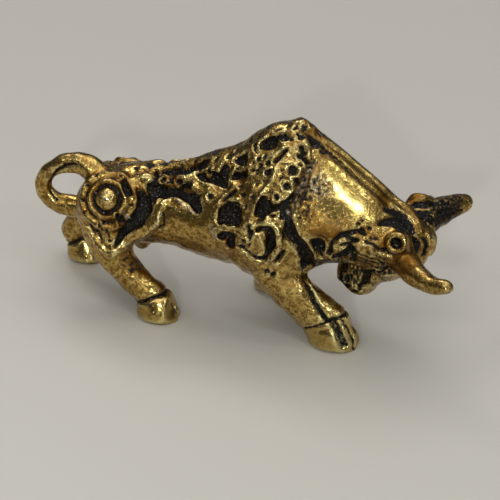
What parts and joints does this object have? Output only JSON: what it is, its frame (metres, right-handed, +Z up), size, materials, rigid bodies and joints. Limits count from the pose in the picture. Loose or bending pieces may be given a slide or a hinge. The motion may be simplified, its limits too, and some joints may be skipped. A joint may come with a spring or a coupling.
{
  "type": "bull figurine",
  "caption": "Solid cast brass figurine of a charging bull, head down and horns forward, tail curled into a loop, flanks carved with scrolls.",
  "frame": {"origin": "under the middle of the bull's box, on the surface that it stands on", "axes": "+X towards the bull's horns, +Y to its left, +Z up"},
  "size_m": [0.045, 0.017, 0.022],
  "materials": {
    "brass": "polished, with dark tarnish left in the hollows of the carving"
  },
  "bodies": {
    "root": {"bull": "brass"}
  },
  "joints": []
}
